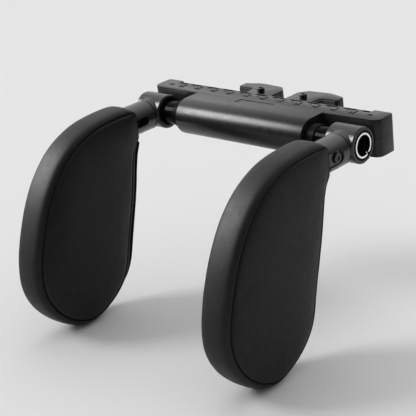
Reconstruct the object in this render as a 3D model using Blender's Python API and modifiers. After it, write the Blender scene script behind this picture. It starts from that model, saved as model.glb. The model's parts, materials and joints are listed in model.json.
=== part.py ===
# Car headrest side support: a clamp-on cross bar that carries two hinged, padded side wings.
#
# Frame: +X to the right, +Y backwards to the two posts of the seat, +Z up, metres.
# Origin: middle of the flat rear face of the clamp rail, between the two jaws.
# The wings hang from two short tubes that slide in the round front of the bar.

import math

import bmesh
import bpy
from mathutils import Matrix, Vector

MM = 0.001

# Clearances
GAP = 0.3 * MM                    # between pieces that touch
CUT = 1.0 * MM                    # how far a cutter runs past the face it opens
SMOOTH_ANGLE = math.radians(35)

# Sides of the round pieces
BORE_SIDES = 28
SMALL_SIDES = 20
SCREW_SIDES = 10

# Cross bar
BAR_HEIGHT = 34 * MM
BAR_HALF_LENGTH = 131 * MM
BAR_REAR_Y = -11 * MM             # rear edge of the top plate
BAR_DEPTH = 16.2 * MM
BAR_CORNER = 7 * MM
BAR_EDGE = 0.9 * MM
LOBE_LENGTH = 20 * MM             # rear end lobes, which close the rail
LOBE_DEPTH = 7 * MM
LOBE_CORNER = 3 * MM
WALL = 2.5 * MM
PLATE_LENGTH = 41 * MM            # shallow bare panel on the top
PLATE_WIDTH = 9.5 * MM
PLATE_Y = -31.5 * MM
PLATE_DEPTH = 0.4 * MM
PLATE_CORNER = 1.5 * MM

# Round barrel at the front of the bar, on the hinge axis of the wings
AXIS_Y = -44 * MM
BARREL_RADIUS = BAR_HEIGHT / 2
BARREL_HALF_LENGTH = 73.4 * MM
BARREL_EDGE = 0.8 * MM
BARREL_STEPS = 20                 # flats round the front half of the barrel

# Clamp rail on the back of the bar: a back plate, a web and a flange
FLANGE_DEPTH = 3.5 * MM
FLANGE_HALF_HEIGHT = 7 * MM
WEB_DEPTH = 4 * MM
WEB_HALF_HEIGHT = 3.5 * MM
FLANGE_SHORT = 9 * MM             # the flange ends this far before the lobes
LAND_HALF_LENGTH = 7 * MM         # the flange's middle, which the sliding jaws stay off
TRACK_DEPTH = 0.4 * MM            # from that middle down to the jaws' tracks
RAIL_LOW_STEP = 0.4 * MM          # rail's top lies this much under the bar's top
SCALE_PITCH = 20 * MM
SLOT_COUNT = 12                   # one between each two marks of the scale
SLOT_LENGTH = 13 * MM
SLOT_DEPTH = 2.4 * MM
SLOT_WALL = 0.8 * MM              # behind a slot

# Sliding tubes
TUBE_RADIUS = 11 * MM
TUBE_WALL = 1.7 * MM
TUBE_INNER_X = 33 * MM
TUBE_PROUD = 0.3 * MM             # past the knuckle's outer face
TUBE_TRAVEL_OUT = 20 * MM
TUBE_NOTCH = 3.2 * MM
TUBE_NOTCH_DEPTH = 1.6 * MM
STOP_WIDTH = 4 * MM
STOP_RING = 1.3 * MM              # radial thickness of the stop ring
PLUG_RECESS = 4 * MM
PLUG_LENGTH = 9 * MM
PLUG_WALL = 1.6 * MM
BUSH_FLANGE = 1.8 * MM            # radial thickness of the part held in the barrel
BUSH_NOSE = 1.0 * MM              # radial thickness of the part that stands out
BUSH_HELD_LENGTH = 11 * MM
BUSH_END_WALL = 2.7 * MM
BUSH_STANDS_OUT = 9.6 * MM
BUSH_CHAMFER = 0.6 * MM

# Knuckles
ARM_FROM_END = 19 * MM            # bar's end to the middle of a knuckle
KNUCKLE_WALL = 2.9 * MM
KNUCKLE_HALF_LENGTH = 14.9 * MM
KNUCKLE_EDGE = 0.9 * MM
BRANCH_STEP = 1.6 * MM            # the branch is this much thinner than the knuckle
BRANCH_END = 17 * MM              # distances along the arm are from the hinge axis
SPIGOT_STEP = 3.4 * MM
SPIGOT_LENGTH = 4.7 * MM
FRICTION_WALL = 1.5 * MM
FRICTION_INSET = 0.6 * MM         # from the knuckle's ends
BOLT_RADIUS = 3 * MM
BOLT_HEAD_RADIUS = 5.2 * MM
BOLT_HEAD = 3.2 * MM
BOLT_TIP = 13.6 * MM

# Arm sleeves, which turn on the knuckles
SLEEVE_END = 43.3 * MM
SLEEVE_WEB = 2 * MM
SLEEVE_WALL = 3.4 * MM
SLEEVE_EDGE = 0.7 * MM
CROSS_SCREW_AT = 33.5 * MM
CROSS_SCREW_RADIUS = 2 * MM
DISC_RADIUS = 4.6 * MM            # flat head of the cross screw
DISC_THICKNESS = 1.7 * MM
DISC_BED = 2.6 * MM               # from the sleeve's side down to the bed of the disc
DISC_SLOT_START = 26.2 * MM
DISC_SLOT_HALF = 6 * MM
NUT_SLOT_START = 27 * MM          # slot on the inner side, through the sleeve's wall
NUT_SLOT_HALF = 4.2 * MM
NECK_NUT_RADIUS = 3.4 * MM
NECK_NUT_THICKNESS = 1.3 * MM
NECK_NUT_SEAT = 5 * MM            # from the arm's middle

# Pads
PAD_INWARD = 2 * MM               # middle of a pad, inward from the middle of its knuckle
PAD_EDGE_HALF = 14 * MM           # half of the width between the two seams
PAD_CROWN = 4 * MM                # how far the middle of a face stands past its seam
PAD_SIDE_BULGE = 1.6 * MM
PAD_SEAM_TUCK = 0.6 * MM
# Rings of a face: (size against the seam's outline, height as a share of the crown)
FACE_RINGS = ((0.6, 1.0), (0.92, 0.5))
FACE_RINGS_PLAIN = ((0.7, 0.8),)
# Rings of the edge: (share of the half width, how far they stand out from the seam's outline)
EDGE_RINGS = ((1.0, -PAD_SEAM_TUCK), (0.55, PAD_SIDE_BULGE * 0.8), (0.0, PAD_SIDE_BULGE))
EDGE_RINGS_PLAIN = ((1.0, -PAD_SEAM_TUCK),)
COVER_THICKNESS = 1.3 * MM
CORE_THICKNESS = 5 * MM
CORE_NECK_START = 28 * MM
CORE_NECK_RADIUS = 10.4 * MM
CORE_NECK_LENGTH = 28 * MM
SPINE_THICKNESS = 2 * MM
SPINE_INNER = 13 * MM             # from the pad's middle plane towards the head
SPINE_OUTER = 6 * MM
SPINE_TOP_Z = -12 * MM
SPINE_FOOT_Z = -122 * MM
SPINE_EDGE = 0.4 * MM

# Side view of a pad, (Y, Z), from the top of its neck round the front to the foot of its neck
PAD_OUTLINE = [Vector(p) * MM for p in (
    (-87.6, 14.6), (-109, 16.6), (-139, 14.8), (-162, 8.0), (-180, -2.6), (-197, -19.5),
    (-210.5, -40), (-220.5, -63), (-227.5, -86), (-229.6, -107), (-226, -127), (-215.5, -145),
    (-199.5, -159), (-180, -165), (-160.5, -160.5), (-143, -150.5), (-130.2, -137.5),
    (-121.6, -122), (-112.5, -92), (-103.5, -61), (-96.9, -31), (-92.2, -19), (-87.6, -13.6),
)]
CORE_OUTLINE = [Vector(p) * MM for p in (
    (-92, 7.5), (-130, 4), (-172, -18), (-200, -62), (-208, -108), (-192, -138), (-165, -140),
    (-140, -112), (-122, -58), (-108, -12), (-92, -7.5),
)]
CORE_CORNER = 14 * MM
PAD_POINT_COUNT = 34              # points round the finished outline
PAD_CENTRE = Vector((-165, -70)) * MM

# Clamp jaws
JAW_HALF_HEIGHT = 13 * MM
JAW_INNER_X = 8.4 * MM
JAW_BLOCK_END_X = 38.5 * MM
JAW_TIP_X = 58 * MM
MOUTH_DEPTH = 14.4 * MM           # rail face to the front of the rear arm
MOUTH_CORNER = 6 * MM
JAW_EDGE = 1.0 * MM
JAW_FRONT_CORNER = 0.8 * MM
JAW_TIP_CORNER = 1.5 * MM
# Rear corners of a jaw, (X, Y, radius), from its tip to its inner side
JAW_REAR = [tuple(value * MM for value in corner) for corner in (
    (58, 24.5, 3), (41, 30, 25), (15.4, 28, 9), (8.4, 20, 6),
)]
SLIT = 1.2 * MM
SLIT_END_Y = 16 * MM
LINER_THICKNESS = 1.5 * MM
LINER_HALF_HEIGHT = 12 * MM
LINER_FRONT_Y = 0.8 * MM
LINER_TIP_SHORT = 2 * MM          # liner ends this far before the jaw's tip
CLAMP_SCREW_X = 25 * MM
CLAMP_SCREW_Y = 7.5 * MM
CLAMP_SCREW_RADIUS = 2 * MM
CLAMP_HEAD_RADIUS = 3.5 * MM
CLAMP_HEAD = 4 * MM
NUT_RADIUS = 4.04 * MM
NUT_THICKNESS = 3.2 * MM

# Small screws
INNER_SCREW_X = 50 * MM
OUTER_SCREW_FROM_END = 13 * MM
HOUSING_SCREW_RADIUS = 1.4 * MM
HOUSING_SCREW_HEAD = 2.7 * MM
HOUSING_SCREW_HEAD_DEPTH = 1.8 * MM
HOUSING_SCREW_TIP = 9 * MM        # above the parting line
HOUSING_SCREW_SUNK = 0.3 * MM     # head below the bottom face
RAIL_SCREW_INSET = 4.6 * MM       # from the inner side of an end lobe
RAIL_SCREW_Z = 9 * MM
RAIL_SCREW_RADIUS = 1.4 * MM
RAIL_SCREW_HEAD = 2.8 * MM
RAIL_SCREW_HEAD_HEIGHT = 1.9 * MM
RAIL_SCREW_LENGTH = 7 * MM
BOSS_HALF_LENGTH = 5 * MM
HEAD_EDGE = 0.4 * MM              # chamfer round the screw heads

# Sizes that follow from the ones above
HALF_HEIGHT = BAR_HEIGHT / 2
LOBE_INNER_X = BAR_HALF_LENGTH - LOBE_LENGTH
FLANGE_HALF_LENGTH = LOBE_INNER_X - FLANGE_SHORT
HOUSING_SCREW_X = (INNER_SCREW_X, BAR_HALF_LENGTH - OUTER_SCREW_FROM_END)
RAIL_SCREW_X = LOBE_INNER_X - RAIL_SCREW_INSET
ARM_X = BAR_HALF_LENGTH - ARM_FROM_END
PAD_X = ARM_X - PAD_INWARD
BAR_FRONT_Y = BAR_REAR_Y - BAR_DEPTH
RAIL_PLATE_REAR_Y = -(FLANGE_DEPTH + WEB_DEPTH)
RAIL_PLATE_FRONT_Y = BAR_REAR_Y + GAP
JAW_FRONT_Y = RAIL_PLATE_REAR_Y + GAP
STOP_RADIUS = TUBE_RADIUS + GAP + STOP_RING
CAVITY_RADIUS = STOP_RADIUS + GAP
BUSH_BORE = TUBE_RADIUS + GAP
BUSH_FLANGE_RADIUS = BUSH_BORE + BUSH_FLANGE
BUSH_NOSE_RADIUS = BUSH_BORE + BUSH_NOSE
BUSH_SEAT_X = BARREL_HALF_LENGTH - BUSH_END_WALL
BUSH_INNER_X = BUSH_SEAT_X - BUSH_HELD_LENGTH
STOP_OUTER_X = BUSH_INNER_X - GAP - TUBE_TRAVEL_OUT
KNUCKLE_INNER_X = ARM_X - KNUCKLE_HALF_LENGTH
KNUCKLE_OUTER_X = ARM_X + KNUCKLE_HALF_LENGTH
FRICTION_RADIUS = BUSH_BORE + FRICTION_WALL
KNUCKLE_BORE = FRICTION_RADIUS + GAP
KNUCKLE_RADIUS = KNUCKLE_BORE + KNUCKLE_WALL
BRANCH_RADIUS = KNUCKLE_RADIUS - BRANCH_STEP
SPIGOT_RADIUS = BRANCH_RADIUS - SPIGOT_STEP
SLEEVE_BORE = BRANCH_RADIUS - SLEEVE_WALL
SPIGOT_END = BRANCH_END + SPIGOT_LENGTH
SLEEVE_START = BRANCH_END + GAP
WEB_START = SPIGOT_END + GAP
WEB_END = WEB_START + SLEEVE_WEB
DISC_BED_X = BRANCH_RADIUS - DISC_BED
HINGE = Vector((0, AXIS_Y, 0))
CROSS = HINGE - Vector((0, CROSS_SCREW_AT, 0))


# Scene helpers

def clear_scene():
    for obj in list(bpy.data.objects):
        bpy.data.objects.remove(obj, do_unlink=True)
    for collection in list(bpy.data.collections):
        bpy.data.collections.remove(collection)


def new_collection(name):
    collection = bpy.data.collections.new(name)
    bpy.context.scene.collection.children.link(collection)
    return collection


def new_material(name, colour, roughness, metallic=0.0):
    material = bpy.data.materials.new(name)
    material.use_nodes = True
    shader = material.node_tree.nodes["Principled BSDF"]
    shader.inputs["Base Color"].default_value = (*colour, 1)
    shader.inputs["Roughness"].default_value = roughness
    shader.inputs["Metallic"].default_value = metallic
    material.diffuse_color = (*colour, 1)
    return material


def mesh_object(mesh, collection):
    obj = bpy.data.objects.new(mesh.name, mesh)
    collection.objects.link(obj)
    return obj


def evaluated_mesh(obj):
    """The object's mesh after its modifiers, in world space; the object is removed."""
    bpy.context.view_layer.update()
    graph = bpy.context.evaluated_depsgraph_get()
    mesh = bpy.data.meshes.new_from_object(obj.evaluated_get(graph), depsgraph=graph)
    mesh.transform(obj.matrix_world)
    bpy.data.objects.remove(obj, do_unlink=True)
    return mesh


def clean(mesh, flat=False):
    """Weld loose caps, face outwards and, where asked, turn flat triangles into one face."""
    bm = bmesh.new()
    bm.from_mesh(mesh)
    bmesh.ops.remove_doubles(bm, verts=bm.verts, dist=0.002 * MM)
    if flat:
        bmesh.ops.dissolve_limit(bm, angle_limit=math.radians(0.2), verts=bm.verts, edges=bm.edges)
    bmesh.ops.recalc_face_normals(bm, faces=bm.faces)
    bm.to_mesh(mesh)
    bm.free()
    return mesh


# Shape helpers: each returns a mesh in world space

def rounded(corners, steps=3):
    """Outline with round corners from (x, y, radius) corners, as a list of points."""
    points = []
    count = len(corners)
    for index, (x, y, radius) in enumerate(corners):
        here = Vector((x, y))
        before = Vector(corners[index - 1][:2]) - here
        after = Vector(corners[(index + 1) % count][:2]) - here
        half = before.angle(after) / 2
        if radius <= 0:
            points.append(here)
            continue
        reach = min(radius / math.tan(half), 0.49 * before.length, 0.49 * after.length)
        start = here + before.normalized() * reach
        end = here + after.normalized() * reach
        weight = math.sin(half)  # makes the weighted quadratic curve a true arc of a circle
        for step in range(steps + 1):
            t = step / steps
            a, b, c = (1 - t) ** 2, 2 * t * (1 - t) * weight, t ** 2
            points.append((start * a + here * b + end * c) / (a + b + c))
    return points


def outline_prism(name, points, low, high, plane="XY", edge=0.0):
    """A flat outline made thick from low to high along the plane's normal, with rounded rims."""
    curve = bpy.data.curves.new(name, "CURVE")
    curve.dimensions = "2D"
    curve.fill_mode = "BOTH"
    curve.extrude = (high - low) / 2 - edge
    curve.bevel_depth = edge
    curve.bevel_resolution = 1
    curve.offset = -edge
    spline = curve.splines.new("POLY")
    spline.points.add(len(points) - 1)
    for target, point in zip(spline.points, points):
        target.co = (point[0], point[1], 0, 1)
    spline.use_cyclic_u = True
    obj = bpy.data.objects.new(name, curve)
    bpy.context.scene.collection.objects.link(obj)
    mesh = clean(evaluated_mesh(obj), flat=True)
    bpy.data.curves.remove(curve)
    mesh.transform(Matrix.Translation((0, 0, (high + low) / 2)))
    if plane == "YZ":
        mesh.transform(Matrix(((0, 0, 1, 0), (1, 0, 0, 0), (0, 1, 0, 0), (0, 0, 0, 1))))
    mesh.name = name
    return mesh


def box(name, low, high):
    low, high = Vector(low), Vector(high)
    bm = bmesh.new()
    size = high - low
    place = Matrix.Translation((low + high) / 2) @ Matrix.Diagonal((*size, 1))
    bmesh.ops.create_cube(bm, size=1, matrix=place)
    mesh = bpy.data.meshes.new(name)
    bm.to_mesh(mesh)
    bm.free()
    return mesh


def turned(name, profile, axis="Z", place=(0, 0, 0), segments=BORE_SIDES, closed=False):
    """Turn a (radius, height) profile, from top to bottom, round the axis through place."""
    mesh = bpy.data.meshes.new(name)
    edges = [(i, i + 1) for i in range(len(profile) - 1)]
    if closed:
        edges.append((len(profile) - 1, 0))
    mesh.from_pydata([(radius, 0, height) for radius, height in profile], edges, [])
    obj = bpy.data.objects.new(name, mesh)
    bpy.context.scene.collection.objects.link(obj)
    screw = obj.modifiers.new("Turn", "SCREW")
    screw.angle = math.tau
    screw.steps = screw.render_steps = segments
    screw.use_merge_vertices = True
    screw.merge_threshold = 0.002 * MM
    solid = clean(evaluated_mesh(obj))
    bpy.data.meshes.remove(mesh)
    turn = {"Z": Matrix(), "X": Matrix.Rotation(math.pi / 2, 4, "Y"),
            "-Y": Matrix.Rotation(math.pi / 2, 4, "X")}[axis]
    solid.transform(Matrix.Translation(place) @ turn)
    solid.name = name
    return solid


def rod(name, radius, start, end, axis="Z", place=(0, 0, 0), segments=BORE_SIDES, edge=0.0):
    """A plain or edge-chamfered cylinder along the axis."""
    rim = [(radius, end), (radius, start)]
    if edge:
        rim = [(radius - edge, end), (radius, end - edge), (radius, start + edge), (radius - edge, start)]
    return turned(name, [(0, end)] + rim + [(0, start)], axis, place, segments)


def ring(name, outer, inner, start, end, axis="Z", place=(0, 0, 0), segments=BORE_SIDES):
    profile = [(inner, end), (outer, end), (outer, start), (inner, start)]
    return turned(name, profile, axis, place, segments, closed=True)


def hexagon(name, radius, low, high, place):
    points = []
    for corner in range(6):
        angle = math.tau * corner / 6
        points.append((place[0] + radius * math.cos(angle), place[1] + radius * math.sin(angle)))
    return outline_prism(name, points, low, high)


def combined(name, base, steps):
    """Boolean result of a mesh with (operation, mesh) steps, worked out with the exact solver."""
    obj = mesh_object(base, bpy.context.scene.collection)
    helpers = []
    for index, (operation, mesh) in enumerate(steps):
        helper = mesh_object(mesh, CUTTERS)
        helper.hide_render = True
        helper.display_type = "WIRE"
        helpers.append(helper)
        modifier = obj.modifiers.new(f"Step {index + 1}", "BOOLEAN")
        modifier.operation = operation
        modifier.object = helper
        modifier.solver = "EXACT"
    result = clean(evaluated_mesh(obj), flat=True)
    for helper in helpers:
        bpy.data.objects.remove(helper, do_unlink=True)
    result.name = name
    return result


def mirrored(mesh):
    copy = mesh.copy()
    copy.transform(Matrix.Scale(-1, 4, (1, 0, 0)))
    copy.flip_normals()
    return copy


def half_of(mesh, upper):
    """The upper or lower half of a solid, with half the gap of the parting line taken off."""
    sign = 1 if upper else -1
    bm = bmesh.new()
    bm.from_mesh(mesh)
    geometry = bm.verts[:] + bm.edges[:] + bm.faces[:]
    cut = bmesh.ops.bisect_plane(bm, geom=geometry, plane_co=(0, 0, sign * GAP / 2),
                                 plane_no=(0, 0, -sign), clear_outer=True)
    rim = [item for item in cut["geom_cut"] if isinstance(item, bmesh.types.BMEdge)]
    bmesh.ops.edgeloop_fill(bm, edges=rim)
    bmesh.ops.recalc_face_normals(bm, faces=bm.faces)
    result = bpy.data.meshes.new("half")
    bm.to_mesh(result)
    bm.free()
    return result


# Placing finished pieces

def joint_empty(name, place, parent=None):
    empty = bpy.data.objects.new(name, None)
    empty.empty_display_size = 0.02
    PARTS.objects.link(empty)
    empty.parent = parent
    empty["place"] = tuple(place)
    empty.location = Vector(place) - (Vector(parent["place"]) if parent else Vector())
    return empty


def add_piece(name, mesh, material, parent):
    """One finished piece, with its origin on its parent's joint axis."""
    origin = Vector(parent["place"])
    mesh.name = name
    mesh.transform(Matrix.Translation(-origin))
    mesh.materials.clear()
    mesh.materials.append(material)
    mesh.shade_smooth()
    mesh.set_sharp_from_angle(angle=SMOOTH_ANGLE)
    obj = mesh_object(mesh, PARTS)
    obj.name = name
    obj.parent = parent
    return obj


def add_pair(name, mesh, material, parents):
    """The right-hand piece and its mirror image."""
    add_piece("left_" + name, mirrored(mesh), material, parents["left"])
    add_piece("right_" + name, mesh, material, parents["right"])


# Cross bar

def bar_body():
    lobe_rear = BAR_REAR_Y + LOBE_DEPTH
    right = [(LOBE_INNER_X, BAR_REAR_Y, 0), (LOBE_INNER_X, lobe_rear, LOBE_CORNER),
             (BAR_HALF_LENGTH, lobe_rear, LOBE_CORNER), (BAR_HALF_LENGTH, BAR_FRONT_Y, BAR_CORNER)]
    left = [(-x, y, r) for x, y, r in reversed(right)]
    bar = outline_prism("bar", rounded(left + right), -HALF_HEIGHT, HALF_HEIGHT, edge=BAR_EDGE)
    arc = []
    for step in range(BARREL_STEPS + 1):
        angle = math.pi * step / BARREL_STEPS
        arc.append((AXIS_Y - BARREL_RADIUS * math.sin(angle), BARREL_RADIUS * math.cos(angle)))
    back = (BAR_FRONT_Y + BAR_REAR_Y) / 2
    section = [(back, -HALF_HEIGHT), (back, HALF_HEIGHT)] + arc
    barrel = outline_prism("barrel", section, -BARREL_HALF_LENGTH, BARREL_HALF_LENGTH, "YZ", BARREL_EDGE)
    return combined("bar", bar, [("UNION", barrel)])


def barrel_bore():
    """One stepped cutter: the bore for the tubes, the pockets for their bushes and the open mouths."""
    pocket = BUSH_FLANGE_RADIUS + GAP
    mouth = BUSH_NOSE_RADIUS + GAP
    end = BARREL_HALF_LENGTH + CUT
    seat = BUSH_SEAT_X + GAP
    inner = BUSH_INNER_X - GAP
    half = [(0, end), (mouth, end), (mouth, seat), (pocket, seat), (pocket, inner),
            (CAVITY_RADIUS, inner)]
    profile = half + [(radius, -height) for radius, height in reversed(half)]
    return turned("bore", profile, "X", HINGE)


def housing_pockets(sign):
    """Hollows in one half, between the bosses of its screws."""
    front = BAR_FRONT_Y + WALL
    rear = BAR_REAR_Y - WALL
    roof = HALF_HEIGHT - WALL
    levels = sorted((-sign * CUT, sign * roof))
    boss_in = HOUSING_SCREW_X[0] - BOSS_HALF_LENGTH
    boss_out = HOUSING_SCREW_X[0] + BOSS_HALF_LENGTH
    cuts = []
    for low, high in ((WALL, boss_in), (boss_out, RAIL_SCREW_X - BOSS_HALF_LENGTH)):
        for side in (-1, 1):
            ends = sorted((side * low, side * high))
            pocket = box("pocket", (ends[0], front, levels[0]), (ends[1], rear, levels[1]))
            cuts.append(("DIFFERENCE", pocket))
    return cuts


def housing_screw_places():
    middle = (BAR_FRONT_Y + BAR_REAR_Y) / 2
    return [(side * x, middle, 0) for x in HOUSING_SCREW_X for side in (-1, 1)]


def rail_screw_places():
    return [(side * RAIL_SCREW_X, 0, level * RAIL_SCREW_Z) for side in (-1, 1) for level in (-1, 1)]


def rail_screw_hole(place):
    depth = RAIL_SCREW_LENGTH - RAIL_PLATE_REAR_Y + GAP
    return rod("hole", RAIL_SCREW_RADIUS + GAP, 0, depth, "-Y", place, SCREW_SIDES)


def screw_holes(upper):
    """Holes of one half for the housing screws and the rail screws."""
    cuts = []
    shank = HOUSING_SCREW_RADIUS + GAP
    head = HOUSING_SCREW_HEAD + GAP
    bed = -HALF_HEIGHT + HOUSING_SCREW_HEAD_DEPTH + GAP
    low = -HALF_HEIGHT - CUT
    for place in housing_screw_places():
        if upper:
            cuts.append(rod("hole", shank, -CUT, HOUSING_SCREW_TIP + GAP, "Z", place, SCREW_SIDES))
        else:
            profile = [(0, CUT), (shank, CUT), (shank, bed), (head, bed), (head, low), (0, low)]
            cuts.append(turned("hole", profile, "Z", place, SCREW_SIDES))
    cuts += [rail_screw_hole(place) for place in rail_screw_places() if (place[2] > 0) == upper]
    return [("DIFFERENCE", cut) for cut in cuts]


def housing_half(body, upper):
    sign = 1 if upper else -1
    steps = [("DIFFERENCE", barrel_bore())] + housing_pockets(sign) + screw_holes(upper)
    if upper:
        half = PLATE_LENGTH / 2
        front, rear = PLATE_Y - PLATE_WIDTH / 2, PLATE_Y + PLATE_WIDTH / 2
        corners = [(-half, front), (half, front), (half, rear), (-half, rear)]
        outline = rounded([(x, y, PLATE_CORNER) for x, y in corners], 2)
        panel = outline_prism("panel", outline, HALF_HEIGHT - PLATE_DEPTH, HALF_HEIGHT + CUT)
        steps.append(("DIFFERENCE", panel))
    return combined("housing", half_of(body, upper), steps)


def housing_screws():
    low = -HALF_HEIGHT + HOUSING_SCREW_SUNK
    neck = -HALF_HEIGHT + HOUSING_SCREW_HEAD_DEPTH
    tip = HOUSING_SCREW_TIP
    profile = [(0, tip), (HOUSING_SCREW_RADIUS, tip - CUT), (HOUSING_SCREW_RADIUS, neck),
               (HOUSING_SCREW_HEAD, neck), (HOUSING_SCREW_HEAD, low), (0, low)]
    places = housing_screw_places()
    return [turned("housing_screw", profile, "Z", place, SCREW_SIDES) for place in places]


# Clamp rail

def rail():
    top = HALF_HEIGHT - RAIL_LOW_STEP
    section = [
        (RAIL_PLATE_FRONT_Y, -top), (RAIL_PLATE_REAR_Y, -top), (RAIL_PLATE_REAR_Y, -WEB_HALF_HEIGHT),
        (-FLANGE_DEPTH, -WEB_HALF_HEIGHT), (-FLANGE_DEPTH, -FLANGE_HALF_HEIGHT), (0, -FLANGE_HALF_HEIGHT),
        (0, FLANGE_HALF_HEIGHT), (-FLANGE_DEPTH, FLANGE_HALF_HEIGHT), (-FLANGE_DEPTH, WEB_HALF_HEIGHT),
        (RAIL_PLATE_REAR_Y, WEB_HALF_HEIGHT), (RAIL_PLATE_REAR_Y, top), (RAIL_PLATE_FRONT_Y, top),
    ]
    length = LOBE_INNER_X - GAP
    body = outline_prism("rail", section, -length, length, "YZ")
    steps = []
    for side in (-1, 1):
        ends = sorted((side * FLANGE_HALF_LENGTH, side * (length + CUT)))
        low = (ends[0], RAIL_PLATE_REAR_Y, -HALF_HEIGHT - CUT)
        high = (ends[1], CUT, HALF_HEIGHT + CUT)
        steps.append(("DIFFERENCE", box("end", low, high)))
        ends = sorted((side * LAND_HALF_LENGTH, side * (length + CUT)))
        low = (ends[0], -TRACK_DEPTH, -FLANGE_HALF_HEIGHT - CUT)
        high = (ends[1], CUT, FLANGE_HALF_HEIGHT + CUT)
        steps.append(("DIFFERENCE", box("track", low, high)))
    for index in range(SLOT_COUNT):
        x = (index - (SLOT_COUNT - 1) / 2) * SCALE_PITCH
        low = (x - SLOT_LENGTH / 2, RAIL_PLATE_FRONT_Y - CUT, top - SLOT_DEPTH)
        high = (x + SLOT_LENGTH / 2, RAIL_PLATE_REAR_Y - SLOT_WALL, top + CUT)
        steps.append(("DIFFERENCE", box("slot", low, high)))
    steps += [("DIFFERENCE", rail_screw_hole(place)) for place in rail_screw_places()]
    return combined("rail", body, steps)


def rail_screws():
    seat = -RAIL_PLATE_REAR_Y - GAP
    tip = seat + RAIL_SCREW_LENGTH
    top = seat - RAIL_SCREW_HEAD_HEIGHT
    profile = [(0, tip), (RAIL_SCREW_RADIUS, tip - CUT), (RAIL_SCREW_RADIUS, seat),
               (RAIL_SCREW_HEAD, seat), (RAIL_SCREW_HEAD - HEAD_EDGE, top), (0, top)]
    return [turned("rail_screw", profile, "-Y", place, SCREW_SIDES) for place in rail_screw_places()]


# Sliding tubes, right-hand side

def tube():
    end = KNUCKLE_OUTER_X + TUBE_PROUD
    body = ring("tube", TUBE_RADIUS, TUBE_RADIUS - TUBE_WALL, TUBE_INNER_X, end, "X", HINGE)
    angle = math.radians(-55)
    middle = HINGE + Vector((end, TUBE_RADIUS * math.cos(angle), TUBE_RADIUS * math.sin(angle)))
    reach = Vector((TUBE_NOTCH_DEPTH, TUBE_NOTCH / 2, TUBE_NOTCH / 2))
    return combined("tube", body, [("DIFFERENCE", box("notch", middle - reach, middle + reach))])


def tube_stop():
    start = STOP_OUTER_X - STOP_WIDTH
    return ring("tube_stop", STOP_RADIUS, TUBE_RADIUS + GAP, start, STOP_OUTER_X, "X", HINGE, SMALL_SIDES)


def tube_plug():
    radius = TUBE_RADIUS - TUBE_WALL - GAP
    end = KNUCKLE_OUTER_X - PLUG_RECESS
    start = end - PLUG_LENGTH
    floor = start + PLUG_WALL
    profile = [(0, floor), (radius - PLUG_WALL, floor), (radius - PLUG_WALL, end), (radius, end),
               (radius, start), (0, start)]
    return turned("tube_plug", profile, "X", HINGE, SMALL_SIDES)


def tube_bush():
    nose_end = BARREL_HALF_LENGTH + BUSH_STANDS_OUT
    profile = [
        (BUSH_BORE, nose_end), (BUSH_NOSE_RADIUS - BUSH_CHAMFER, nose_end),
        (BUSH_NOSE_RADIUS, nose_end - BUSH_CHAMFER), (BUSH_NOSE_RADIUS, BUSH_SEAT_X),
        (BUSH_FLANGE_RADIUS, BUSH_SEAT_X), (BUSH_FLANGE_RADIUS, BUSH_INNER_X), (BUSH_BORE, BUSH_INNER_X),
    ]
    return turned("tube_bush", profile, "X", HINGE, closed=True)


# Knuckles, right-hand side

def knuckle():
    arm = HINGE + Vector((ARM_X, 0, 0))
    inner, outer = KNUCKLE_INNER_X, KNUCKLE_OUTER_X
    body = rod("knuckle", KNUCKLE_RADIUS, inner, outer, "X", HINGE, edge=KNUCKLE_EDGE)
    branch = rod("branch", BRANCH_RADIUS, 0, BRANCH_END, "-Y", arm)
    spigot = rod("spigot", SPIGOT_RADIUS, 0, SPIGOT_END, "-Y", arm)
    bore = rod("bore", KNUCKLE_BORE, inner - CUT, outer + CUT, "X", HINGE)
    hole = rod("hole", BOLT_RADIUS + GAP, 0, SPIGOT_END + CUT, "-Y", arm, SCREW_SIDES)
    return combined("knuckle", body, [("UNION", branch), ("UNION", spigot), ("DIFFERENCE", bore),
                                      ("DIFFERENCE", hole)])


def friction_bush():
    start, end = KNUCKLE_INNER_X + FRICTION_INSET, KNUCKLE_OUTER_X - FRICTION_INSET
    return ring("friction_bush", FRICTION_RADIUS, BUSH_BORE, start, end, "X", HINGE, SMALL_SIDES)


def swivel_bolt():
    arm = HINGE + Vector((ARM_X, 0, 0))
    seat = WEB_END + GAP
    top = seat + BOLT_HEAD
    profile = [(0, top), (BOLT_HEAD_RADIUS, top), (BOLT_HEAD_RADIUS, seat), (BOLT_RADIUS, seat),
               (BOLT_RADIUS, BOLT_TIP), (0, BOLT_TIP)]
    body = turned("swivel_bolt", profile, "-Y", arm, SMALL_SIDES)
    socket = rod("socket", BOLT_RADIUS, top - BOLT_HEAD / 2, top + CUT, "-Y", arm, 6)
    return combined("swivel_bolt", body, [("DIFFERENCE", socket)])


# Arm sleeves, right-hand side

def cross_screw_hole():
    far = BRANCH_RADIUS + CUT
    return rod("cross", CROSS_SCREW_RADIUS + GAP, ARM_X - far, ARM_X + far, "X", CROSS, SCREW_SIDES)


def sleeve_slot(start, half, low, high):
    """Steps that cut a slot with a round near end into the sleeve, open at the sleeve's end."""
    centre = AXIS_Y - start - half
    round_end = rod("slot", half, low, high, "X", Vector((0, centre, 0)), SMALL_SIDES)
    straight = box("slot", (low, AXIS_Y - SLEEVE_END - CUT, -half), (high, centre, half))
    return [("DIFFERENCE", round_end), ("DIFFERENCE", straight)]


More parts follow.
